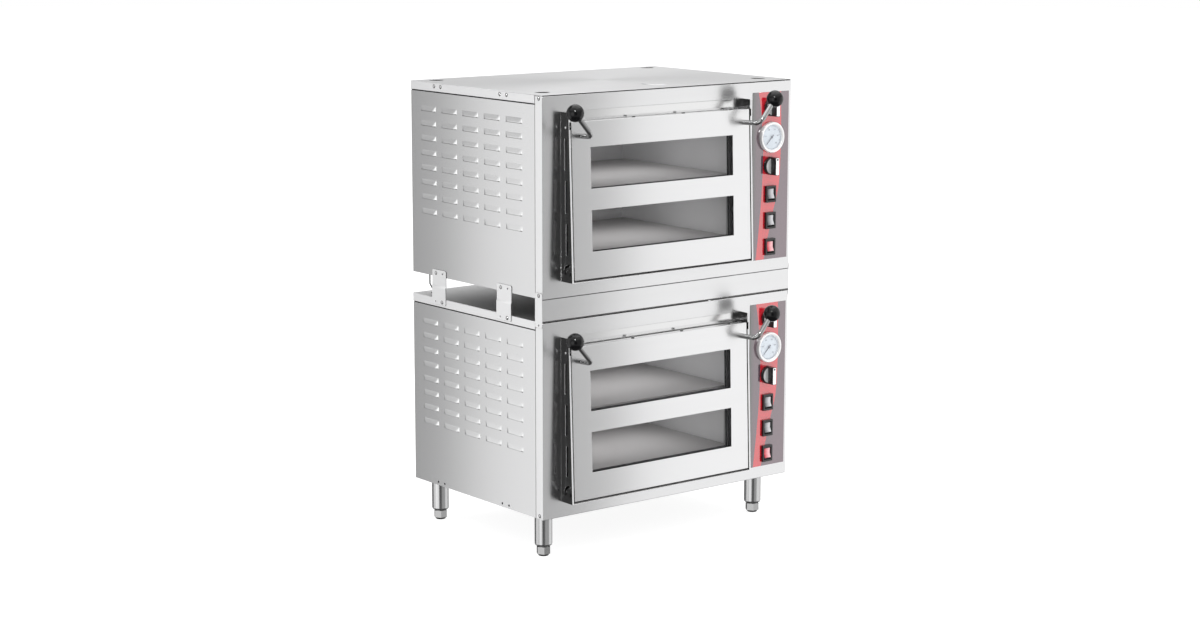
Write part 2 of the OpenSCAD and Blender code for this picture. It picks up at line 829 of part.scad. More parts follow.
at_unit(upper_z) fascia();  // upper_fascia
at_unit(upper_z) top_panel();  // upper_top_panel
at_unit(upper_z) left_panel();  // upper_left_panel
at_unit(upper_z) right_panel();  // upper_right_panel
at_unit(upper_z) base_pan();  // upper_base_pan
at_unit(upper_z) door_cheeks();  // upper_door_cheeks
at_unit(upper_z) chamber();  // upper_chamber
at_unit(upper_z) door_skin();  // upper_door_skin
at_unit(upper_z) door_pan();  // upper_door_pan
at_unit(upper_z) door_glass();  // upper_door_glass
at_unit(upper_z) door_seals();  // upper_door_seals
at_unit(upper_z) handle_rods();  // upper_handle_rods
at_unit(upper_z) handle_balls();  // upper_handle_balls
at_unit(upper_z) door_fasteners();  // upper_door_fasteners
at_unit(upper_z) knob(timer_z);  // upper_timer_knob
at_unit(upper_z) knob(thermostat_z);  // upper_thermostat_knob
at_unit(upper_z) rocker(rocker_levels[0], clear_tint);  // upper_rocker_top
at_unit(upper_z) rocker(rocker_levels[1], clear_tint);  // upper_rocker_bottom
at_unit(upper_z) rocker(rocker_levels[2], red);  // upper_rocker_power
at_unit(upper_z) gauge_needle();  // upper_gauge_needle
at_unit(lower_z) fascia();  // lower_fascia
at_unit(lower_z) top_panel();  // lower_top_panel
at_unit(lower_z) left_panel();  // lower_left_panel
at_unit(lower_z) right_panel();  // lower_right_panel
at_unit(lower_z) base_pan();  // lower_base_pan
at_unit(lower_z) door_cheeks();  // lower_door_cheeks
at_unit(lower_z) chamber();  // lower_chamber
at_unit(lower_z) door_skin();  // lower_door_skin
at_unit(lower_z) door_pan();  // lower_door_pan
at_unit(lower_z) door_glass();  // lower_door_glass
at_unit(lower_z) door_seals();  // lower_door_seals
at_unit(lower_z) handle_rods();  // lower_handle_rods
at_unit(lower_z) handle_balls();  // lower_handle_balls
at_unit(lower_z) door_fasteners();  // lower_door_fasteners
at_unit(lower_z) knob(timer_z);  // lower_timer_knob
at_unit(lower_z) knob(thermostat_z);  // lower_thermostat_knob
at_unit(lower_z) rocker(rocker_levels[0], clear_tint);  // lower_rocker_top
at_unit(lower_z) rocker(rocker_levels[1], clear_tint);  // lower_rocker_bottom
at_unit(lower_z) rocker(rocker_levels[2], red);  // lower_rocker_power
at_unit(lower_z) gauge_needle();  // lower_gauge_needle
on_both_units() back_panel();  // back_panels
on_both_units() control_plate();  // control_plates
on_both_units() gauge();  // gauges
on_both_units() for (z = rocker_levels) switch_frame(z);  // switch_frames
on_both_units() control_bodies();
on_both_units() capillaries();
on_both_units() terminal_block();  // terminal_blocks
on_both_units() cord_gland();  // cord_glands
on_both_units() stones();  // stone_decks
on_both_units() elements();  // heating_elements
on_both_units() insulation_blanket();  // insulation
leg_tubes();
foot(-1, leg_front);  // foot_front_left
foot(1, leg_front);  // foot_front_right
foot(-1, case_d - leg_back);  // foot_back_left
foot(1, case_d - leg_back);  // foot_back_right
side_brackets();
filler_panel();
case_screws();
bond_wire();
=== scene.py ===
import math

import bmesh
import bpy
from mathutils import Matrix, Vector


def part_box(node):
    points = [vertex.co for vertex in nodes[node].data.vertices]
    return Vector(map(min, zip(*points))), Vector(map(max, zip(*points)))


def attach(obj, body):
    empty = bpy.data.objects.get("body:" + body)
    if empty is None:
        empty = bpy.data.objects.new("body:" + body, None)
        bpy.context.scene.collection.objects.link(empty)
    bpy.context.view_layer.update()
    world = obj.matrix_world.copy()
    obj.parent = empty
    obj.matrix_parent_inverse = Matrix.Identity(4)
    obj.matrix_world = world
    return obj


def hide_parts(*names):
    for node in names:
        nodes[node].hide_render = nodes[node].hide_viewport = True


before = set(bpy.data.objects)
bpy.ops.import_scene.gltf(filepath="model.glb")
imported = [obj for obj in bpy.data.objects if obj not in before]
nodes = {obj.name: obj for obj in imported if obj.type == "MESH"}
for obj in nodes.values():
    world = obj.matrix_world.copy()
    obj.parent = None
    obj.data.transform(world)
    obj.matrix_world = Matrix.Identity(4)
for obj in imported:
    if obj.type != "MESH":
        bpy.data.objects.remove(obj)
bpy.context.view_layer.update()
scene = bpy.context.scene
UNITS = ("upper", "lower")
MM = 0.001
SAME_POINT = 1e-6


def unit_origin(unit):
    """The middle of an oven's front face, at the bottom of its case."""
    low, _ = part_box(f"{unit}_fascia")
    return Vector((0, low.y, low.z))


# ---------- Camera ----------

# Where the photo was taken from. Angles in radians: yaw from +Y towards +X, pitch downwards.
yaw, pitch, roll = 0.669189, 0.177094, 0.001602
camera = bpy.data.objects.new("camera", bpy.data.cameras.new("camera"))
scene.collection.objects.link(camera)
scene.camera = camera
forward = Vector((math.sin(yaw) * math.cos(pitch), math.cos(yaw) * math.cos(pitch), -math.sin(pitch)))
level = Vector((math.cos(yaw), -math.sin(yaw), 0))
upward = level.cross(forward)
across = math.cos(roll) * level + math.sin(roll) * upward
upright = -math.sin(roll) * level + math.cos(roll) * upward
camera.matrix_world = Matrix((across, upright, -forward)).transposed().to_4x4()
camera.location = (-3.6110, -4.5191, 1.5472)
camera.data.sensor_width = 36
camera.data.lens = 72.844
camera.data.clip_end = 60

# ---------- Node helpers ----------


class Tree:
    """A small helper for wiring a node tree."""

    def __init__(self, tree):
        self.tree = tree

    def node(self, kind, inputs=None, **settings):
        made = self.tree.nodes.new(kind)
        for key, value in settings.items():
            setattr(made, key, value)
        for key, value in (inputs or {}).items():
            self.put(made, key, value)
        return made

    def put(self, node, key, value):
        if isinstance(value, bpy.types.NodeSocket):
            self.tree.links.new(value, node.inputs[key])
        else:
            node.inputs[key].default_value = value

    def math(self, operation, first, second=0.0):
        return self.node("ShaderNodeMath", {0: first, 1: second}, operation=operation).outputs[0]

    def spread(self, value, low, high, start=0.0, end=1.0, smooth=False):
        made = self.node("ShaderNodeMapRange", {
            "Value": value, "From Min": start, "From Max": end, "To Min": low, "To Max": high})
        if smooth:
            made.interpolation_type = "SMOOTHSTEP"
        return made.outputs[0]

    def blend(self, factor, first, second):
        made = self.node("ShaderNodeMix", data_type="RGBA")
        self.put(made, 0, factor)
        self.put(made, 6, first)
        self.put(made, 7, second)
        return made.outputs[2]


class Look(Tree):
    """A material with a Principled shader."""

    def __init__(self, name):
        self.material = bpy.data.materials.new(name)
        self.material.use_nodes = True
        super().__init__(self.material.node_tree)
        self.shader = self.tree.nodes["Principled BSDF"]
        self.where = self.node("ShaderNodeTexCoord").outputs["Object"]

    def set(self, **values):
        """Sets or links shader inputs by name, with underscores for spaces."""
        for key, value in values.items():
            self.put(self.shader, key.replace("_", " "), value)

    def axes(self):
        return self.node("ShaderNodeSeparateXYZ", {0: self.where}).outputs

    def noise(self, scale, detail=2.0, roughness=0.5, stretch=(1, 1, 1)):
        place = self.node("ShaderNodeMapping", {"Vector": self.where, "Scale": stretch}).outputs[0]
        made = self.node("ShaderNodeTexNoise", {
            "Vector": place, "Scale": scale, "Detail": detail, "Roughness": roughness})
        return made.outputs["Fac"]

    def bump(self, height, strength, distance=0.001):
        made = self.node("ShaderNodeBump", {"Height": height, "Strength": strength, "Distance": distance})
        self.put(self.shader, "Normal", made.outputs[0])


def grey(value, tint=(1, 1, 1)):
    return (value * tint[0], value * tint[1], value * tint[2], 1)


def adjusted(material, key, value):
    """The same material with one shader input at another value."""
    material.node_tree.nodes["Principled BSDF"].inputs[key].default_value = value
    return material


# ---------- Kinds of material ----------


def brushed(name, value, rough, along, smear=0.7, streaks=0.04, mottle=1.0, tint=(1, 1, 1.006)):
    """Brushed stainless steel. along squeezes the grain pattern along the brushing direction."""
    g = Look(name)
    fine = g.noise(1100, 3, 0.7, along)
    broad = g.noise(60, 3, 0.65, along)
    cloudy = g.noise(3.0, 2, 0.5)
    g.set(Metallic=1.0, Anisotropic=smear, Anisotropic_Rotation=0.25)
    g.put(g.shader, "Tangent", g.node("ShaderNodeTangent", direction_type="RADIAL", axis="Z").outputs[0])
    tone = g.math("ADD", g.math("MULTIPLY", broad, 0.6), g.math("MULTIPLY", cloudy, 0.4))
    darker = grey(value * (1 - 0.04 * mottle), tint)
    lighter = grey(value * (1 + 0.03 * mottle), tint)
    g.set(Base_Color=g.blend(tone, darker, lighter))
    g.set(Roughness=g.spread(g.math("ADD", fine, cloudy), rough * (1 - 0.08 * mottle),
                             rough * (1 + 0.08 * mottle), 0.5, 1.5))
    g.bump(fine, streaks, 0.0001)
    return g.material


def polished(name, value, rough, tint=(1, 1, 1)):
    """Smooth metal with faint smears."""
    g = Look(name)
    smears = g.noise(14, 3, 0.6)
    g.set(Metallic=1.0, Base_Color=g.blend(smears, grey(value * 0.95, tint), grey(value * 1.03, tint)))
    g.set(Roughness=g.spread(smears, rough * 0.7, rough * 1.4))
    g.bump(g.noise(900, 2), 0.02, 0.0001)
    return g.material


def plastic(name, colour, rough, coat=0.0, grain=0.03):
    """Anything that isn't metal: moulded plastic, rubber, paint, wool."""
    g = Look(name)
    g.set(Base_Color=g.blend(g.noise(60, 3), colour, [min(1, c * 1.15 + 0.002) for c in colour[:3]] + [1]))
    g.set(Roughness=g.spread(g.noise(25, 3), rough * 0.8, rough * 1.25), Coat_Weight=coat)
    g.bump(g.noise(700, 2), grain, 0.0002)
    return g.material


def liner():
    """The chamber sheet: bright where it frames the door, darkened by heat inside."""
    g = Look("liner_steel")
    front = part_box("upper_chamber")[0].y
    depth = g.spread(g.axes()[1], 0.0, 1.0, front + 2 * MM, front + 12 * MM)
    stains = g.noise(9, 4, 0.6)
    cool = (1.0, 1.0, 1.01)
    inside = g.blend(stains, grey(0.76, cool), grey(0.90, cool))
    g.set(Metallic=g.spread(depth, 1.0, 0.35), Base_Color=g.blend(depth, grey(0.80), inside))
    g.set(Roughness=g.spread(depth, 0.16, 0.42))
    g.bump(g.noise(300, 3, 0.6, (0.05, 1, 1)), 0.04, 0.0001)
    return g.material


def baking_stone():
    g = Look("baking_stone")
    grain = g.noise(420, 5, 0.7)
    patches = g.noise(7, 3, 0.6)
    pale = g.blend(patches, (0.46, 0.45, 0.45, 1), (0.56, 0.55, 0.55, 1))
    g.set(Base_Color=g.blend(g.spread(grain, 0, 1, 0.35, 0.75), pale, (0.36, 0.35, 0.35, 1)), Roughness=0.85)
    g.bump(grain, 0.25, 0.0004)
    return g.material


def clear_sheet(name, colour, low_rough, high_rough, mirror):
    """Glass as a thin mirror that only shows towards grazing angles. mirror sets how soon."""
    g = Look(name)
    g.set(Metallic=1.0, Base_Color=colour, Roughness=g.spread(g.noise(6), low_rough, high_rough))
    g.set(Alpha=g.node("ShaderNodeLayerWeight", {"Blend": mirror}).outputs["Facing"])
    return g.material


def rocker_lens_painted_light(name, left, right):
    """A clear moulded lens, painted darker at its left edge and lighter towards its right: painted shade and
    painted light.
    """
    g = Look(name)
    low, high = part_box("upper_rocker_top")
    across = g.spread(g.axes()[0], 0, 1, low.x + 2 * MM, high.x - 5 * MM, smooth=True)
    ribs = g.noise(40, 3, 0.6, (1, 1, 8))
    # The colour runs across the lens from left to right: painted shade at the left, painted light at the
    # right.
    g.set(Base_Color=g.blend(g.math("ADD", across, g.spread(ribs, -0.18, 0.18)), left, right))
    g.set(Roughness=g.spread(g.noise(25, 3), 0.10, 0.18), Coat_Weight=0.5)
    g.bump(g.noise(500, 2), 0.08, 0.0002)
    return g.material


PLATE_TOP = 432.5     # the top of a control plate above the bottom of its case, in mm
PLATE_HEIGHT = 404.0
PLATE_WIDTH = 116.0
# The red sweep's edges, as (depth below the plate's top, distance from its left edge) in mm
RED_LEFT = ((0, 19), (75, 31), (140, 35), (225, 33), (300, 27), (404, 15))
RED_RIGHT = ((0, 90), (190, 90), (230, 86), (280, 72), (340, 56), (404, 41))


def printed_plate():
    """Dark film with a red sweep, printed under a glossy surface."""
    g = Look("plate_print")
    x, _, z = g.axes()
    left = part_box("control_plates")[0].x
    plate_top = {u: unit_origin(u).z + PLATE_TOP * MM for u in UNITS}
    upper = g.math("GREATER_THAN", z, unit_origin("upper").z)
    step_up = g.math("MULTIPLY", upper, plate_top["upper"] - plate_top["lower"])
    head = g.math("ADD", plate_top["lower"], step_up)
    down = g.math("DIVIDE", g.math("SUBTRACT", head, z), MM)
    right = g.math("DIVIDE", g.math("SUBTRACT", x, left), MM)

    def edge(points):
        curve = g.node("ShaderNodeFloatCurve", {"Value": g.math("DIVIDE", down, PLATE_HEIGHT)})
        line = curve.mapping.curves[0]
        line.points[0].location = (0, points[0][1] / PLATE_WIDTH)
        line.points[1].location = (1, points[-1][1] / PLATE_WIDTH)
        for depth, across_by in points[1:-1]:
            line.points.new(depth / PLATE_HEIGHT, across_by / PLATE_WIDTH)
        curve.mapping.update()
        return g.math("MULTIPLY", curve.outputs[0], PLATE_WIDTH)

    red_from = edge(RED_LEFT)
    red_to = edge(RED_RIGHT)
    inside = g.math("MULTIPLY", g.spread(g.math("SUBTRACT", right, red_from), 0, 1, -0.4, 0.4),
                    g.spread(g.math("SUBTRACT", red_to, right), 0, 1, -0.4, 0.4))
    ink = g.blend(g.noise(500, 2), (0.105, 0.058, 0.078, 1), (0.120, 0.066, 0.088, 1))
    shaded = g.blend(g.spread(right, 0, 1, 2, 15), (0.035, 0.038, 0.036, 1), ink)
    g.set(Base_Color=g.blend(inside, shaded, (0.62, 0.010, 0.024, 1)), IOR=2.7)
    g.set(Roughness=g.spread(g.noise(40), 0.05, 0.09))
    return g.material


# ---------- The materials ----------

GRAIN_X = (0.01, 1, 1)
GRAIN_Y = (1, 0.01, 1)
GRAIN_Z = (1, 1, 0.02)
front_steel = brushed("front_steel", 0.80, 0.24, GRAIN_X)
door_steel = brushed("door_steel", 0.84, 0.24, GRAIN_X)
side_steel = brushed("side_steel", 0.82, 0.27, GRAIN_Y, smear=0.5, streaks=0.003, mottle=0.3)
# Steel made partly non-metallic so that the diffuse-only fill lights whiten it: a lit copy of the steel,
# painted light
lit_edge_steel = adjusted(brushed("lit_edge_steel", 0.84, 0.40, GRAIN_Y, smear=0.2, mottle=0.4), "Metallic", 0.6)
# Near-black steel for painted shade: dark outlines round the brackets' edges and in the filler panel's seams
painted_shade_edge = polished("painted_shade_edge", 0.10, 0.35)
top_steel = brushed("top_steel", 0.78, 0.36, GRAIN_X, smear=0.2)
# A dark copy of the steel for the base pan: painted shade under the ovens
shaded_under_steel = polished("shaded_under_steel", 0.12, 0.45)
# A dark copy of the polished steel for the door cheeks: painted shade
shaded_cheek_steel = polished("shaded_cheek_steel", 0.20, 0.12)
pan_steel = polished("pan_steel", 0.5, 0.3)
liner_steel = liner()
chrome = polished("chrome", 0.42, 0.06)
tube_steel = brushed("tube_steel", 0.58, 0.20, GRAIN_Z, smear=0.4)
foot_steel = polished("foot_steel", 0.40, 0.16)
screw_steel = polished("screw_steel", 0.62, 0.12)
dark_screw = polished("dark_screw", 0.16, 0.15)
black_gloss = adjusted(plastic("black_gloss", (0.002, 0.002, 0.0025, 1), 0.06), "Specular IOR Level", 0.35)
black_satin = plastic("black_satin", (0.012, 0.012, 0.013, 1), 0.28, 0.2)
black_matte = plastic("black_matte", (0.012, 0.012, 0.013, 1), 0.55)
white_face = plastic("white_face", (0.86, 0.86, 0.86, 1), 0.30)
dial_white = plastic("dial_white", (0.66, 0.71, 0.76, 1), 0.40, grain=0.01)
dial_ink = plastic("dial_ink", (0.14, 0.16, 0.20, 1), 0.50)
needle_ink = plastic("needle_ink", (0.20, 0.21, 0.24, 1), 0.40)
stone = baking_stone()
grey_clear = plastic("grey_clear", (0.30, 0.30, 0.31, 1), 0.10, 0.8, grain=0.12)
red_clear = plastic("red_clear", (0.66, 0.02, 0.05, 1), 0.10, 0.8, grain=0.12)
# Rocker lenses with painted shade at their left and painted light at their right
clear_rocker_painted_light = rocker_lens_painted_light("rocker_clear", (0.10, 0.10, 0.11, 1), (0.62, 0.62, 0.64, 1))
red_rocker_painted_light = rocker_lens_painted_light("rocker_red", (0.60, 0.01, 0.03, 1), (0.90, 0.50, 0.53, 1))
ivory = plastic("ivory", (0.75, 0.72, 0.62, 1), 0.50)
# The wool's colour is painted dark: painted shade in the cavities seen through the case's holes
wool = plastic("wool", (0.16, 0.15, 0.13, 1), 0.95, grain=0.6)
element_sheath = plastic("element_sheath", (0.10, 0.095, 0.09, 1), 0.45)
copper = polished("copper", 0.85, 0.25, (0.95, 0.60, 0.42))
window_glass = clear_sheet("window_glass", (0.92, 0.93, 0.95, 1), 0.01, 0.03, 0.01)
plate_print = printed_plate()
satin_face = adjusted(polished("satin_face", 0.62, 0.30), "Metallic", 0.35)
chrome_bright = adjusted(polished("chrome_bright", 0.95, 0.25), "Metallic", 0.3)
lens_glass = clear_sheet("lens_glass", (0.92, 0.95, 1.0, 1), 0.02, 0.05, 0.10)

# The material of each CAD node, by its name without the oven's prefix
LOOKS = {
    "fascia": front_steel, "top_panel": top_steel, "left_panel": side_steel, "right_panel": side_steel,
    "base_pan": shaded_under_steel, "door_cheeks": shaded_cheek_steel, "chamber": liner_steel, "door_skin": door_steel,
    "door_pan": pan_steel, "door_glass": window_glass, "door_seals": black_matte, "handle_rods": chrome,
    "handle_balls": black_gloss, "door_fasteners": dark_screw, "timer_knob": black_satin,
    "thermostat_knob": black_satin, "rocker_top": grey_clear, "rocker_bottom": grey_clear,
    "rocker_power": red_clear, "gauge_needle": needle_ink,
    "back_panels": front_steel, "control_plates": plate_print, "gauges": chrome, "switch_frames": black_satin,
    "control_bodies": black_matte, "capillaries": copper, "terminal_blocks": ivory,
    "cord_glands": black_satin, "stone_decks": stone, "heating_elements": element_sheath, "insulation": wool,
    "leg_tubes": tube_steel, "foot_front_left": foot_steel, "foot_front_right": foot_steel,
    "foot_back_left": foot_steel, "foot_back_right": foot_steel, "side_brackets": lit_edge_steel,
    "filler_panel": front_steel, "case_screws": screw_steel, "bond_wire": black_matte,
}
# Folded sheets whose returns at the sides have the lit edge look: painted light
LIT_RETURN_SHEETS = ("fascia", "top_panel", "filler_panel")
SIDE_RETURN_X = 370 * MM
# Nodes whose cut edges have another look than their faces: near-black steel as painted shade on the brackets'
# edges, the lit steel on the cheeks' edges
EDGE_LOOKS = {"side_brackets": painted_shade_edge, "door_cheeks": lit_edge_steel}
# How far edges are rounded, in mm: only the long ones on sheets, all sharp ones on small pieces
SHEET_EDGE_MM = {
    "fascia": 1.1, "top_panel": 1.1, "door_skin": 0.9, "side_brackets": 0.5, "filler_panel": 0.8,
    "door_cheeks": 0.4, "control_plates": 0.3, "back_panels": 0.5, "base_pan": 0.6, "chamber": 0.4,
    "door_pan": 0.4,
}
SMALL_EDGE_MM = {
    "switch_frames": 0.6, "rocker_top": 0.5, "rocker_bottom": 0.5, "rocker_power": 0.5,
    "foot_front_left": 0.6, "foot_front_right": 0.6, "foot_back_left": 0.6, "foot_back_right": 0.6,
    "stone_decks": 1.0, "cord_glands": 0.5, "door_fasteners": 0.4,
}
LONG_EDGE = 6 * MM
SHEET = 1.2  # sheet thickness in mm


def mark_long_edges(mesh):
    """Marks the long sharp edges for rounding. Small holes would limit it if they were rounded too."""
    count = {}
    for face in mesh.polygons:
        for key in face.edge_keys:
            count[key] = count.get(key, 0) + 1
    weights = mesh.attributes.new("bevel_weight_edge", "FLOAT", "EDGE")
    for edge in mesh.edges:
        first, second = (mesh.vertices[v].co for v in edge.vertices)
        if count.get(edge.key) == 1 and (first - second).length > LONG_EDGE:
            weights.data[edge.index].value = 1.0


def dress_cad_nodes():
    """Gives every CAD node its material, smooth round faces and slightly rounded edges."""
    for name, piece in nodes.items():
        kind = name if name in LOOKS else name.removeprefix("upper_").removeprefix("lower_")
        mesh = piece.data
        mesh.materials.clear()
        mesh.materials.append(LOOKS[kind])
        if kind in LIT_RETURN_SHEETS:
            mesh.materials.append(lit_edge_steel)
            for face in mesh.polygons:
                face.material_index = int(abs(face.normal.x) > 0.9 and abs(face.center.x) > SIDE_RETURN_X)
            if kind == "filler_panel":
                # The filler panel's faces behind its front get the near-black steel: painted shade in its
                # seams
                mesh.materials.append(painted_shade_edge)
                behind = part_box(kind)[0].y + SHEET / 2 * MM
                for face in mesh.polygons:
                    if abs(face.normal.x) < 0.9 and face.center.y > behind:
                        face.material_index = 2
        elif kind in EDGE_LOOKS:
            mesh.materials.append(EDGE_LOOKS[kind])
            for face in mesh.polygons:
                face.material_index = int(abs(face.normal.x) < 0.5)
        else:
            for face in mesh.polygons:
                face.material_index = 0
        if kind in SHEET_EDGE_MM or kind in SMALL_EDGE_MM:
            weld = piece.modifiers.new("weld", "WELD")
            weld.merge_threshold = SAME_POINT
            soften = piece.modifiers.new("edges", "BEVEL")
            soften.segments = 2
            if kind in SHEET_EDGE_MM:
                mark_long_edges(mesh)
                soften.width = SHEET_EDGE_MM[kind] * MM
                soften.limit_method = "WEIGHT"
            else:
                soften.width = SMALL_EDGE_MM[kind] * MM
                soften.limit_method = "ANGLE"
                soften.angle_limit = math.radians(35)
            mesh.shade_smooth()
            flat = piece.modifiers.new("flat_faces", "WEIGHTED_NORMAL")
            flat.mode = "FACE_AREA"
            flat.weight = 100
            flat.thresh = 0.0001
        else:
            mesh.shade_smooth()
            mesh.set_sharp_from_angle(angle=math.radians(32))


# ---------- Mesh helpers ----------


def add_piece(name, bm, looks, body, stands_for=(), smooth=32):
    """Makes a piece of the object from bm. stands_for lists the CAD nodes that it replaces."""
    mesh = bpy.data.meshes.new(name)
    bmesh.ops.recalc_face_normals(bm, faces=bm.faces)
    bm.to_mesh(mesh)
    bm.free()
    for look in looks:
        mesh.materials.append(look)
    mesh.shade_smooth()
    mesh.set_sharp_from_angle(angle=math.radians(smooth))
    piece = bpy.data.objects.new(name, mesh)
    scene.collection.objects.link(piece)
    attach(piece, body)
    if stands_for:
        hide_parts(*stands_for)
    return piece


def islands(name):
    """The separate solids of a CAD node, as (lowest corner, highest corner)."""
    bm = bmesh.new()
    bm.from_mesh(nodes[name].data)
    bmesh.ops.remove_doubles(bm, verts=bm.verts, dist=SAME_POINT)
    found, seen = [], set()
    for start in bm.verts:
        if start in seen:
            continue
        stack, members = [start], []
        seen.add(start)
        while stack:
            vert = stack.pop()
            members.append(vert.co.copy())
            for edge in vert.link_edges:
                other = edge.other_vert(vert)
                if other not in seen:
                    seen.add(other)
                    stack.append(other)
        found.append((Vector(map(min, *members)), Vector(map(max, *members))))
    bm.free()
    return found


def lathe(bm, profile, place, segments=48, look=0):
    """Turns (radius, height) pairs about the local Z of place.

    Radius 0 closes the shape on the axis, and a last pair equal to the first closes a ring.
    """
    rings = []
    for radius, height in profile:
        if rings and (radius, height) == profile[0]:
            rings.append(rings[0])
        elif radius < 1e-9:
            rings.append([bm.verts.new(place @ Vector((0, 0, height)))])
        else:
            rings.append([bm.verts.new(place @ Vector((radius * math.cos(t), radius * math.sin(t), height)))
                          for t in (2 * math.pi * i / segments for i in range(segments))])
    for lower, higher in zip(rings, rings[1:]):
        for i in range(segments):
            corners = [lower[i % len(lower)], lower[(i + 1) % len(lower)],
                       higher[(i + 1) % len(higher)], higher[i % len(higher)]]
            unique = list(dict.fromkeys(corners))
            if len(unique) > 2:
                bm.faces.new(unique).material_index = look


def in_metres(pairs):
    return [(a * MM, b * MM) for a, b in pairs]


def prism(bm, outline, place, low, high, inset, look=0):
    """Extrudes an outline along local Z, with its top edge chamfered by inset."""
    shrink = 1 - inset / max(Vector(p).length for p in outline)
    rings = []
    for height, scale in ((low, 1), (high - inset, 1), (high, shrink)):
        rings.append([bm.verts.new(place @ Vector((x * scale, y * scale, height))) for x, y in outline])
    count = len(outline)
    for lower, higher in zip(rings, rings[1:]):
        for i in range(count):
            j = (i + 1) % count
            bm.faces.new([lower[i], lower[j], higher[j], higher[i]]).material_index = look
    bm.faces.new(rings[-1]).material_index = look
    bm.faces.new(list(reversed(rings[0]))).material_index = look


def facing_front(point):
    """Local Z out of the front, local X to the right, local Y up."""
    return Matrix.Translation(point) @ Matrix.Rotation(math.radians(90), 4, "X")


# ---------- Side panels with pressed louvers ----------

# All in mm, from the front, the middle and the bottom edge of an oven's case
PANEL_FACE = 373.5      # x of the panel's outer face
RETURN_END = 26.5       # where the fascia's side return ends
FLANGE_LOW = 440.0      # where the top panel's side flange begins
GROOVE = 2.4            # the dark seam beside each of them
GROOVE_DEPTH = 4.0
LOUVER_Y = [107.5 + i * 85.2 for i in range(5)]
LOUVER_Z = [152 + i * 35 for i in range(8)]
TIE_HOLES = [c + d for c in (146.5, 408.5) for d in (-13.2, 13.2)]
TIE_HOLE_Z = 8.0
TIE_HOLE_R = 2.05
TIE_HOLE_PAD = 3.0      # half of the square of sheet around a hole
CIRCLE_STEPS = 16
# A black ring round each tie hole: painted shade at the hole's edge
HOLE_SHADE_PROFILE = ((TIE_HOLE_R, 0), (TIE_HOLE_R, 0.3), (2.5, 0.3), (2.9, 0.05), (2.9, 0), (TIE_HOLE_R, 0))

# A louver's grid lines, from its middle: closer together over the rounded ends
LOUVER_HALF = 31
LOUVER_FLAT = 20        # half of the straight part
LOUVER_RIGHT = (10, LOUVER_FLAT, 21.7, 23.4, 25, 26.6, 28, 29.2, 30.2, LOUVER_HALF)
LOUVER_ACROSS = [-a for a in LOUVER_RIGHT] + [0, *LOUVER_RIGHT]
SLIT_LOW = -6.2         # the open slit runs from here up to the lip
LIP = -5.0
LOUVER_TOP = 7
LOUVER_UP = (SLIT_LOW, LIP, -3.5, -1.5, 0.5, 2.5, 4.5, 6, LOUVER_TOP)
LOUVER_OUT = 4.3
NEAR = 0.01             # tolerance when grid lines are compared


def louver_height(across_by, up):
    """How far the pressed louver stands out, in mm: a ramp with sloping ends, open under its lip."""
    if up < LIP - NEAR or up > LOUVER_TOP:
        return 0.0
    ramp = LOUVER_OUT * (LOUVER_TOP - up) / (LOUVER_TOP - LIP)
    past = max(0.0, (abs(across_by) - LOUVER_FLAT) / (LOUVER_HALF - LOUVER_FLAT))
    end = LOUVER_OUT * (1 - past ** 1.8)
    corner = 0.35
    blend = max(0.0, 1 - abs(ramp - end) / (2 * corner)) ** 2 * corner
    return max(0.0, min(ramp, end) - blend)


def panel_offset(y, z):
    """How far the panel's surface stands out of its plane, in mm: louvers out, seams in."""
    for louver_y in LOUVER_Y:
        if abs(y - louver_y) <= LOUVER_HALF:
            for louver_z in LOUVER_Z:
                if -6.5 < z - louver_z <= LOUVER_TOP:
                    return louver_height(y - louver_y, z - louver_z)
    beside_return = RETURN_END + 0.4 < y < RETURN_END + GROOVE + 0.1
    under_flange = FLANGE_LOW - GROOVE - 0.1 < z < FLANGE_LOW - 0.4
    return -GROOVE_DEPTH if beside_return or under_flange else 0.0


def is_open(y_low, y_high, z_low, z_high):
    """Whether a cell of the panel's grid is left out: a louver's slit or a tie hole's square."""
    slit = any(abs(z_high - (c + LIP)) < NEAR and abs(z_low - (c + SLIT_LOW)) < NEAR for c in LOUVER_Z)
    y, z = (y_low + y_high) / 2, (z_low + z_high) / 2
    if slit and any(abs(y - c) < LOUVER_HALF - 1 for c in LOUVER_Y):
        return True
    return any(abs(y - hole_y) < TIE_HOLE_PAD and abs(z - TIE_HOLE_Z) < TIE_HOLE_PAD for hole_y in TIE_HOLES)


def panel_with_hole(bm, grid, ys, zs, y, point):
    """Fills the square around a tie hole at y with four faces that leave the round hole open."""
    first, last = ys.index(y - TIE_HOLE_PAD), ys.index(y + TIE_HOLE_PAD)
    low, high = zs.index(TIE_HOLE_Z - TIE_HOLE_PAD), zs.index(TIE_HOLE_Z + TIE_HOLE_PAD)
    turns = [-0.75 * math.pi + 2 * math.pi * k / CIRCLE_STEPS for k in range(CIRCLE_STEPS)]
    circle = [bm.verts.new(point(y + TIE_HOLE_R * math.cos(a), TIE_HOLE_Z + TIE_HOLE_R * math.sin(a)))
              for a in turns]
    edges = [
        [grid[i][low] for i in range(first, last + 1)],
        [grid[last][low], grid[last][high]],
        [grid[i][high] for i in range(last, first - 1, -1)],
        [grid[first][high], grid[first][low]],
    ]
    for quarter, outer in enumerate(edges):
        inner = [circle[(quarter * 4 + k) % CIRCLE_STEPS] for k in range(5)]
        bm.faces.new(outer + list(reversed(inner)))


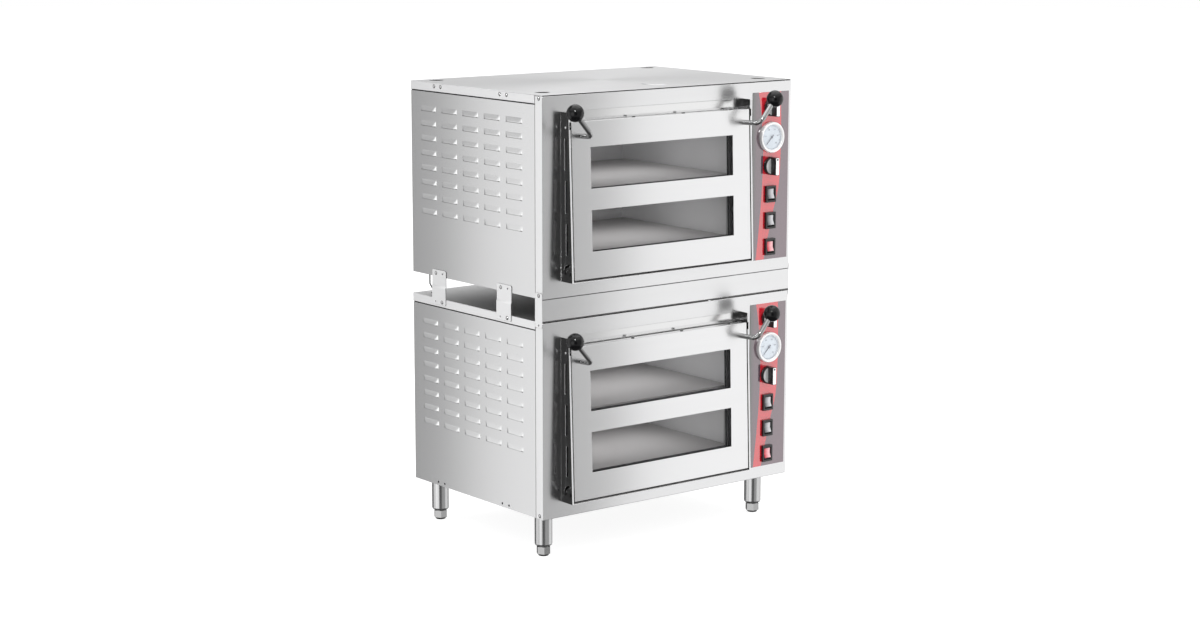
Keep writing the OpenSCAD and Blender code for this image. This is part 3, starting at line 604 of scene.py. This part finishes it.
def side_panel(unit, side):
    """side is -1 for the left panel and 1 for the right one."""
    name = "left_panel" if side < 0 else "right_panel"
    low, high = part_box(f"{unit}_{name}")
    origin = unit_origin(unit)
    front, back = (low.y - origin.y) / MM, (high.y - origin.y) / MM
    top = (high.z - origin.z) / MM
    ys = sorted({front, RETURN_END, RETURN_END + 0.5, RETURN_END + GROOVE, RETURN_END + GROOVE + 0.5, back}
                | {c + a for c in LOUVER_Y for a in LOUVER_ACROSS}
                | {y + d for y in TIE_HOLES for d in (-TIE_HOLE_PAD, TIE_HOLE_PAD)})
    zs = sorted({0.0, FLANGE_LOW - GROOVE - 0.5, FLANGE_LOW - GROOVE, FLANGE_LOW - 0.5, FLANGE_LOW, top}
                | {c + u for c in LOUVER_Z for u in LOUVER_UP}
                | {TIE_HOLE_Z - TIE_HOLE_PAD, TIE_HOLE_Z + TIE_HOLE_PAD})

    def point(y, z, out=0.0):
        return (side * (PANEL_FACE + out) * MM, origin.y + y * MM, origin.z + z * MM)

    bm = bmesh.new()
    grid = [[bm.verts.new(point(y, z, panel_offset(y, z))) for z in zs] for y in ys]
    for i in range(len(ys) - 1):
        for j in range(len(zs) - 1):
            if not is_open(ys[i], ys[i + 1], zs[j], zs[j + 1]):
                bm.faces.new([grid[i][j], grid[i + 1][j], grid[i + 1][j + 1], grid[i][j + 1]])
    for y in TIE_HOLES:
        panel_with_hole(bm, grid, ys, zs, y, point)
    piece = add_piece(f"{unit}_{name}_sheet", bm, [side_steel, black_matte], "cases", (f"{unit}_{name}",),
                      50)
    outward = piece.data.polygons[0].normal.x * side > 0
    for face in piece.data.polygons:
        corners = [abs(piece.data.vertices[v].co.x) for v in face.vertices]
        face.use_smooth = max(corners) - min(corners) > SAME_POINT
        # Faces sunk into the seam grooves get black: painted shade in the grooves
        face.material_index = int(min(corners) < (PANEL_FACE - 0.1) * MM)
    thick = piece.modifiers.new("thickness", "SOLIDIFY")
    thick.thickness = SHEET * MM
    thick.offset = -1 if outward else 1
    # Black rings round the lower oven's tie holes: painted shade
    if unit == "lower":
        outward_turn = Matrix.Rotation(math.radians(90 * side), 4, "Y")
        hole_shades = bmesh.new()
        for y in TIE_HOLES:
            lathe(hole_shades, in_metres(HOLE_SHADE_PROFILE), Matrix.Translation(point(y, TIE_HOLE_Z)) @ outward_turn, 24)
        add_piece(f"{unit}_{name}_hole_shade_rings", hole_shades, [black_matte], "cases")


# ---------- Screws ----------

HEAD_HEIGHT = 2.2
HEAD_PROFILE = ((0, 0), (3.8, 0), (3.8, 0.5), (3.5, 1.2), (2.9, 1.75), (1.9, 2.1), (0.9, HEAD_HEIGHT),
                (0, HEAD_HEIGHT))
# A thin black ring under each screw head: a painted shadow round the head
SHADE_RING_PROFILE = ((3.6, 0), (4.7, 0), (4.7, 0.2), (3.6, 0.25), (3.6, 0))
RECESS_LENGTH, RECESS_WIDTH, RECESS_DEPTH = 4.2, 0.9, 2.4
RECESS_TAPER = 0.55


def evaluated_mesh(holder):
    """The mesh that an object shows with its modifiers applied."""
    bpy.context.view_layer.update()
    return bpy.data.meshes.new_from_object(holder.evaluated_get(bpy.context.evaluated_depsgraph_get()))


def add_mesh(bm, mesh, place):
    """Puts a copy of mesh into bm at place."""
    start = len(bm.verts)
    bm.from_mesh(mesh)
    bm.verts.ensure_lookup_table()
    bmesh.ops.transform(bm, matrix=place, verts=bm.verts[start:])


def pan_head():
    """A screw head with a cross recess, its foot at z = 0. Returned as a mesh."""
    bm = bmesh.new()
    lathe(bm, in_metres(HEAD_PROFILE), Matrix(), 32)
    bmesh.ops.recalc_face_normals(bm, faces=bm.faces)
    head = bpy.data.objects.new("head", bpy.data.meshes.new("head"))
    bm.to_mesh(head.data)
    bm.free()
    cutter_mesh = bmesh.new()
    for turn in (0, 90):
        place = Matrix.Rotation(math.radians(turn), 4, "Z") @ Matrix.Translation((0, 0, RECESS_DEPTH * MM))
        size = Matrix.Diagonal((RECESS_LENGTH * MM, RECESS_WIDTH * MM, RECESS_DEPTH * MM, 1))
        made = bmesh.ops.create_cube(cutter_mesh, size=1.0, matrix=place @ size)
        for vert in made["verts"]:
            if vert.co.z < RECESS_DEPTH * MM:
                vert.co.x *= RECESS_TAPER
                vert.co.y *= RECESS_TAPER
    cutter = bpy.data.objects.new("cutter", bpy.data.meshes.new("cutter"))
    cutter_mesh.to_mesh(cutter.data)
    cutter_mesh.free()
    for made in (head, cutter):
        scene.collection.objects.link(made)
    cut = head.modifiers.new("cut", "BOOLEAN")
    cut.object = cutter
    cut.operation = "DIFFERENCE"
    cut.solver = "EXACT"
    cut.use_self = True
    result = evaluated_mesh(head)
    for made in (head, cutter):
        bpy.data.objects.remove(made)
    return result


def case_screws():
    """A screw head for every case screw, each turned a little further than the last, with a thin black ring
    under it as a painted shadow round the head.
    """
    head = pan_head()
    bm, shade_rings = bmesh.new(), bmesh.new()
    for number, (low, high) in enumerate(islands("case_screws")):
        middle = (low + high) / 2
        if high.x - low.x > high.y - low.y:
            side = 1 if middle.x > 0 else -1
            outer_x = high.x if side > 0 else low.x
            foot = Vector((outer_x - side * HEAD_HEIGHT * MM, middle.y, middle.z))
            turn = Matrix.Rotation(math.radians(90 * side), 4, "Y")
        else:
            foot = Vector((middle.x, high.y - HEAD_HEIGHT * MM, middle.z))
            turn = Matrix.Rotation(math.radians(-90), 4, "X")
        place = Matrix.Translation(foot) @ turn @ Matrix.Rotation(number * 0.9, 4, "Z")
        add_mesh(bm, head, place)
        lathe(shade_rings, in_metres(SHADE_RING_PROFILE), place, 32)
    add_piece("case_screw_heads", bm, [screw_steel], "cases", ("case_screws",), 40)
    add_piece("case_screw_shade_rings", shade_rings, [black_matte], "cases")


# ---------- Controls ----------

# Profiles are (radius, height over the case's front face) in mm
GAUGE_X, GAUGE_UP = 309.5, 324
GAUGE_CASE = ((0, -28), (33.5, -28), (33.5, 0.8), (36.6, 0.8), (37, 2.0), (37, 9.0), (36.6, 10.2),
              (35.8, 10.9), (34.6, 11), (33.2, 10.6), (31.6, 9.8), (30.4, 9.0), (29.9, 8.0), (29.9, 3.9),
              (0, 3.9))
GAUGE_DIAL = ((0, 4.0), (29.8, 4.0), (29.8, 4.6), (29.5, 5.0), (0, 5.0))
GAUGE_GLASS = ((0, 7.4), (29.8, 7.4), (29.8, 8.2), (28, 8.7), (16, 9.1), (0, 9.2))
SCALE_RING = ((28.3, 4.9), (28.3, 5.1), (27.9, 5.1), (27.9, 4.9), (28.3, 4.9))
SCALE_START, SCALE_SWEEP, SCALE_STEPS = 225, 270, 50
MARK_LOW, MARK_HIGH, MARK_OUTER = 4.9, 5.12, 27.5
NUMERAL_RADIUS, NUMERAL_SIZE = 20.0, 4.6
NUMERAL_EVERY = 10
ROCKER_TILT = 9


def dial_text(bm, words, size, point):
    """Numerals in ink, centred on point and facing the front."""
    curve = bpy.data.curves.new("numeral", "FONT")
    curve.body = words
    curve.size = size
    curve.align_x = "CENTER"
    curve.align_y = "CENTER"
    curve.extrude = 0.05 * MM
    holder = bpy.data.objects.new("numeral", curve)
    scene.collection.objects.link(holder)
    mesh = evaluated_mesh(holder)
    bpy.data.objects.remove(holder)
    add_mesh(bm, mesh, facing_front(point))


def scale_mark(ink, place, out, major):
    """One raised mark of the dial's scale, along the direction out."""
    inner, width = (24.0, 0.55) if major else (25.6, 0.28)
    beside = Vector((-out.y, out.x, 0)) * width / 2
    corners = [out * MARK_OUTER + beside, out * MARK_OUTER - beside,
               out * inner - beside, out * inner + beside]
    rings = [[ink.verts.new(place @ ((p + Vector((0, 0, h))) * MM)) for p in corners]
             for h in (MARK_LOW, MARK_HIGH)]
    ink.faces.new(rings[1])
    for i in range(4):
        ink.faces.new([rings[0][i], rings[0][(i + 1) % 4], rings[1][(i + 1) % 4], rings[1][i]])


def thermometers():
    body, face, ink, lens = (bmesh.new() for _ in range(4))
    for unit in UNITS:
        origin = unit_origin(unit)
        place = facing_front(Vector((GAUGE_X * MM, origin.y, origin.z + GAUGE_UP * MM)))
        lathe(body, in_metres(GAUGE_CASE), place, 64)
        lathe(face, in_metres(GAUGE_DIAL), place, 64)
        lathe(lens, in_metres(GAUGE_GLASS), place, 64)
        for step in range(SCALE_STEPS + 1):
            angle = math.radians(SCALE_START - step * (SCALE_SWEEP / SCALE_STEPS))
            out = Vector((math.cos(angle), math.sin(angle), 0))
            scale_mark(ink, place, out, step % 5 == 0)
            if step % NUMERAL_EVERY == 0:
                spot = place @ (out * NUMERAL_RADIUS * MM + Vector((0, 0, 5.05 * MM)))
                dial_text(ink, str(step * 10), NUMERAL_SIZE * MM, spot)
        lathe(ink, in_metres(SCALE_RING), place, 96)
    add_piece("gauge_cases", body, [chrome_bright], "cases", ("gauges",), 40)
    add_piece("gauge_dials", face, [dial_white], "cases")
    add_piece("gauge_scale", ink, [dial_ink], "cases")
    add_piece("gauge_lenses", lens, [lens_glass], "cases")


def knob(unit, which):
    """A knob: round skirt, satin disc, grip bar with a white inlay and a dot, and a shaft behind."""
    low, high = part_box(f"{unit}_{which}_knob")
    centre = Vector(((low.x + high.x) / 2, unit_origin(unit).y, (low.z + high.z) / 2))
    place = facing_front(centre)
    radius = (high.x - low.x) / 2 / MM
    black, white, satin = range(3)
    bm = bmesh.new()
    skirt = [(0, 1.6), (radius - 1.0, 1.6), (radius, 2.6), (radius, 6.6), (radius - 0.9, 8.8),
             (radius - 2.2, 9.6), (0, 9.6)]
    lathe(bm, in_metres(skirt), place, 64, black)
    disc = [(0, 9.5), (radius - 2.8, 9.5), (radius - 2.8, 9.9), (radius - 5, 10.5), (0, 11.2)]
    lathe(bm, in_metres(disc), place, 64, satin)
    half, reach = 5.5, radius - 0.4
    corner = math.degrees(math.asin(half / reach))
    outline = []
    for base in (90, 270):
        for step in range(-4, 5):
            angle = math.radians(base - step * corner / 4)
            outline.append((reach * math.cos(angle) * MM, reach * math.sin(angle) * MM))
    outline.reverse()
    prism(bm, outline, place, 9.5 * MM, 27.2 * MM, 0.7 * MM, black)
    lathe(bm, in_metres([(0, 1.7), (3, 1.7), (3, -20), (0, -20)]), place, 24, black)
    inlay = [(x * 0.86, y * 0.95) for x, y in outline]
    prism(bm, inlay, place, 27.0 * MM, 27.8 * MM, 0.15 * MM, white)
    dot = place @ Matrix.Translation((0, 16.5 * MM, 0))
    lathe(bm, in_metres([(0, 27.7), (2.6, 27.7), (2.4, 27.98), (0, 27.98)]), dot, 24, black)
    add_piece(f"{unit}_{which}_grip", bm, [black_satin, white_face, satin_face], f"{unit}_{which}",
              (f"{unit}_{which}_knob",), 35)


def rocker_slab(bm, place, half_x, half_z, front, back, inset, look):
    """A block whose front follows the rocker's hollow, with its front edges chamfered. Sizes in mm."""
    hollow_depth, hollow_reach = 2.6, 13.8
    bands = 12
    rows = [-half_z + 2 * half_z * i / bands for i in range(bands + 1)]
    rings = []
    for depth, shrink in ((back, 0), (front + inset, 0), (front, inset)):
        ring = []
        for side in (-1, 1):
            for z in (rows if side > 0 else reversed(rows)):
                hollow = hollow_depth * abs(z) / hollow_reach * (0 if depth == back else 1)
                edge_z = max(-half_z + shrink, min(half_z - shrink, z))
                corner = Vector((side * (half_x - shrink) * MM, (depth - hollow) * MM, edge_z * MM))
                ring.append(bm.verts.new(place @ corner))
        rings.append(ring)
    count = len(rings[0])
    faces = []
    for near, far in zip(rings, rings[1:]):
        for i in range(count):
            faces.append([near[i], near[(i + 1) % count], far[(i + 1) % count], far[i]])
    for ring in (rings[0], rings[-1]):
        for i in range(bands):
            faces.append([ring[i], ring[i + 1], ring[count - 2 - i], ring[count - 1 - i]])
    for corners in faces:
        bm.faces.new(corners).material_index = look


def rocker(unit, which):
    """A rocker: a black body with a clear lens let into its hollow face, and its pivot pin."""
    low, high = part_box(f"{unit}_rocker_{which}")
    height = (low.z + high.z) / 2
    frame_low, frame_high = min(islands("switch_frames"), key=lambda b: abs((b[0].z + b[1].z) / 2 - height))
    pivot = Vector(((low.x + high.x) / 2, unit_origin(unit).y + 1 * MM, (frame_low.z + frame_high.z) / 2))
    place = Matrix.Translation(pivot) @ Matrix.Rotation(math.radians(-ROCKER_TILT), 4, "X")
    bm = bmesh.new()
    rocker_slab(bm, place, 11.1, 13.6, -4.4, 2.5, 0.5, 0)
    rocker_slab(bm, place, 9.6, 11.6, -5.0, -3.5, 0.3, 1)
    pin = [(0, -12.6), (1.5, -12.6), (1.5, 12.6), (0, 12.6)]
    lathe(bm, in_metres(pin), place @ Matrix.Rotation(math.radians(90), 4, "Y"), 16)
    lens = red_rocker_painted_light if which == "power" else clear_rocker_painted_light
    add_piece(f"{unit}_rocker_{which}_cap", bm, [black_satin, lens], f"{unit}_switch_{which}",
              (f"{unit}_rocker_{which}",), 35)


HANDLE_SPLAY = math.radians(40.8)   # how far the rods' ends turn outwards
DOOR_LEAN = math.atan(14 / 384)     # the closed door's tilt: 14 mm over its height
DOOR_MIDDLE_X = -50 * MM


def ball_knobs(unit):
    """Ball grips with a short neck round the end of each bent rod."""
    bm = bmesh.new()
    for low, high in islands(f"{unit}_handle_balls"):
        centre = (low + high) / 2
        radius = (high.x - low.x) / 2
        side = 1 if centre.x > DOOR_MIDDLE_X else -1
        along = Matrix.Rotation(-DOOR_LEAN, 4, "X") @ Matrix.Rotation(side * HANDLE_SPLAY, 4, "Y")
        neck = 7.6 * MM
        turn_from = math.acos(neck / radius)
        profile = in_metres([(6.05, -6), (6.05, -19.4), (6.6, -19.7)])
        steps = 24
        for step in range(steps + 1):
            angle = -turn_from + (math.pi / 2 + turn_from) * step / steps
            profile.append((radius * math.cos(angle), radius * math.sin(angle)))
        profile[-1] = (0, radius)
        lathe(bm, profile, Matrix.Translation(centre) @ along, 64)
    add_piece(f"{unit}_ball_grips", bm, [black_gloss], f"{unit}_door", (f"{unit}_handle_balls",),
              50)


# ---------- The object ----------

dress_cad_nodes()
case_screws()
thermometers()
for unit in UNITS:
    for side in (-1, 1):
        side_panel(unit, side)
    for which in ("timer", "thermostat"):
        knob(unit, which)
    for which in ("top", "bottom", "power"):
        rocker(unit, which)
    ball_knobs(unit)

# ---------- Floor, world and lights ----------


def make_floor():
    """A plain near-white floor that fades into the white background."""
    bm = bmesh.new()
    bmesh.ops.create_circle(bm, cap_ends=True, radius=25, segments=96)
    mesh = bpy.data.meshes.new("floor")
    bm.to_mesh(mesh)
    bm.free()
    floor = bpy.data.objects.new("floor", mesh)
    scene.collection.objects.link(floor)
    g = Look("floor_white")
    g.set(Base_Color=(0.35, 0.35, 0.35, 1), Roughness=0.9, Emission_Color=(1, 1, 1, 1), Emission_Strength=0.9)
    mesh.materials.append(g.material)
    floor.visible_glossy = False


WORLD_GREY = 0.50
# What the steel reflects: azimuth from +Y towards +X and elevation in degrees, full strength within
# the third angle, fading out at the fourth, then the brightness there
PATCHES = (
    (38, 14, 14, 40, 0.45),
    (0, 90, 38, 72, 1.25),
    (-13, 42, 8, 24, 0.06),
    (322, -8, 12, 34, 0.40),
    (254, -4, 14, 28, 1.35),
    (212, -4, 8, 26, 0.08),
    (0, -90, 40, 60, 0.10),
    (75, 12, 20, 44, 0.78),
    (38, -17, 16, 27, 0.05),
    (345, -14, 6, 18, 0.12),
)


def make_world():
    """White to the camera, and grey with lighter and darker patches to everything else."""
    world = bpy.data.worlds.new("studio")
    scene.world = world
    world.use_nodes = True
    g = Tree(world.node_tree)
    back = g.tree.nodes["Background"]
    towards = g.node("ShaderNodeTexCoord").outputs["Generated"]
    value = g.node("ShaderNodeValue")
    value.outputs[0].default_value = WORLD_GREY
    value = value.outputs[0]
    for azimuth, elevation, near, far, brightness in PATCHES:
        a, e = math.radians(azimuth), math.radians(elevation)
        axis = (math.sin(a) * math.cos(e), math.cos(a) * math.cos(e), math.sin(e))
        dot = g.node("ShaderNodeVectorMath", {0: towards, 1: axis}, operation="DOT_PRODUCT").outputs["Value"]
        mask = g.spread(dot, 0, 1, math.cos(math.radians(far)), math.cos(math.radians(near)), smooth=True)
        mix = g.node("ShaderNodeMix", data_type="FLOAT")
        g.put(mix, 0, mask)
        g.put(mix, 2, value)
        g.put(mix, 3, brightness)
        value = mix.outputs[0]
    camera_sees = g.node("ShaderNodeLightPath").outputs["Is Camera Ray"]
    shown = g.node("ShaderNodeMix", data_type="FLOAT")
    g.put(shown, 0, camera_sees)
    g.put(shown, 2, value)
    g.put(shown, 3, 1.0)
    g.put(back, "Color", g.node("ShaderNodeCombineColor", {0: shown.outputs[0], 1: shown.outputs[0],
                                                           2: shown.outputs[0]}).outputs[0])


def softbox(name, at, towards, width, height, radiance, glossy=True, diffuse=True):
    """A rectangular light that the camera doesn't see."""
    light = bpy.data.lights.new(name, "AREA")
    light.shape = "RECTANGLE"
    light.size, light.size_y = width, height
    light.energy = radiance * math.pi * width * height
    lamp = bpy.data.objects.new(name, light)
    scene.collection.objects.link(lamp)
    lamp.location = at
    lamp.rotation_euler = (Vector(towards) - Vector(at)).to_track_quat("-Z", "Y").to_euler()
    lamp.visible_camera = False
    lamp.visible_glossy = glossy
    lamp.visible_diffuse = diffuse


# The level direction across the photo's line of sight
ACROSS = Vector((0.772, 0.611, 0))


def card(name, azimuth, distance, start, end, low, high, radiance):
    """An upright soft light for the front and the left side to mirror, from start to end along ACROSS."""
    a = math.radians(azimuth)
    away = Vector((math.sin(a), math.cos(a), 0))
    middle = away * distance + ACROSS * (start + end) / 2 + Vector((0, 0, (low + high) / 2))
    softbox(name, middle, middle - away, abs(end - start), high - low, radiance)


make_floor()
make_world()
card("left_card", -38, 1.5, -0.20, -1.6, -0.9, 1.4, 0.58)
card("right_card", 142, 1.7, -0.26, 1.5, -0.9, 1.4, 0.57)
aim = (0, 0, 0.6)
# A small bright light for the highlights on the ball knobs
softbox("knob_spot", (-2.3, -2.6, 3.1), aim, 0.5, 0.5, 60.0, diffuse=False)
softbox("top_card", (0.4, 0.2, 3.2), (0, 0, 0.5), 3.0, 3.0, 1.0)
softbox("left_fill", (-3.2, -1.4, 1.4), aim, 2.0, 2.0, 0.5, glossy=False)
softbox("front_fill", (1.2, -3.4, 1.4), aim, 2.0, 2.0, 0.8, glossy=False)
# Light inside the chambers, over every stone
for low, high in islands("stone_decks"):
    middle = (low + high) / 2
    y = middle.y - 0.05
    softbox("deck_light", (middle.x, y, high.z + 0.10), (middle.x, y, low.z), 0.36, 0.20, 1.25, glossy=False)
scene.view_settings.view_transform = "Standard"
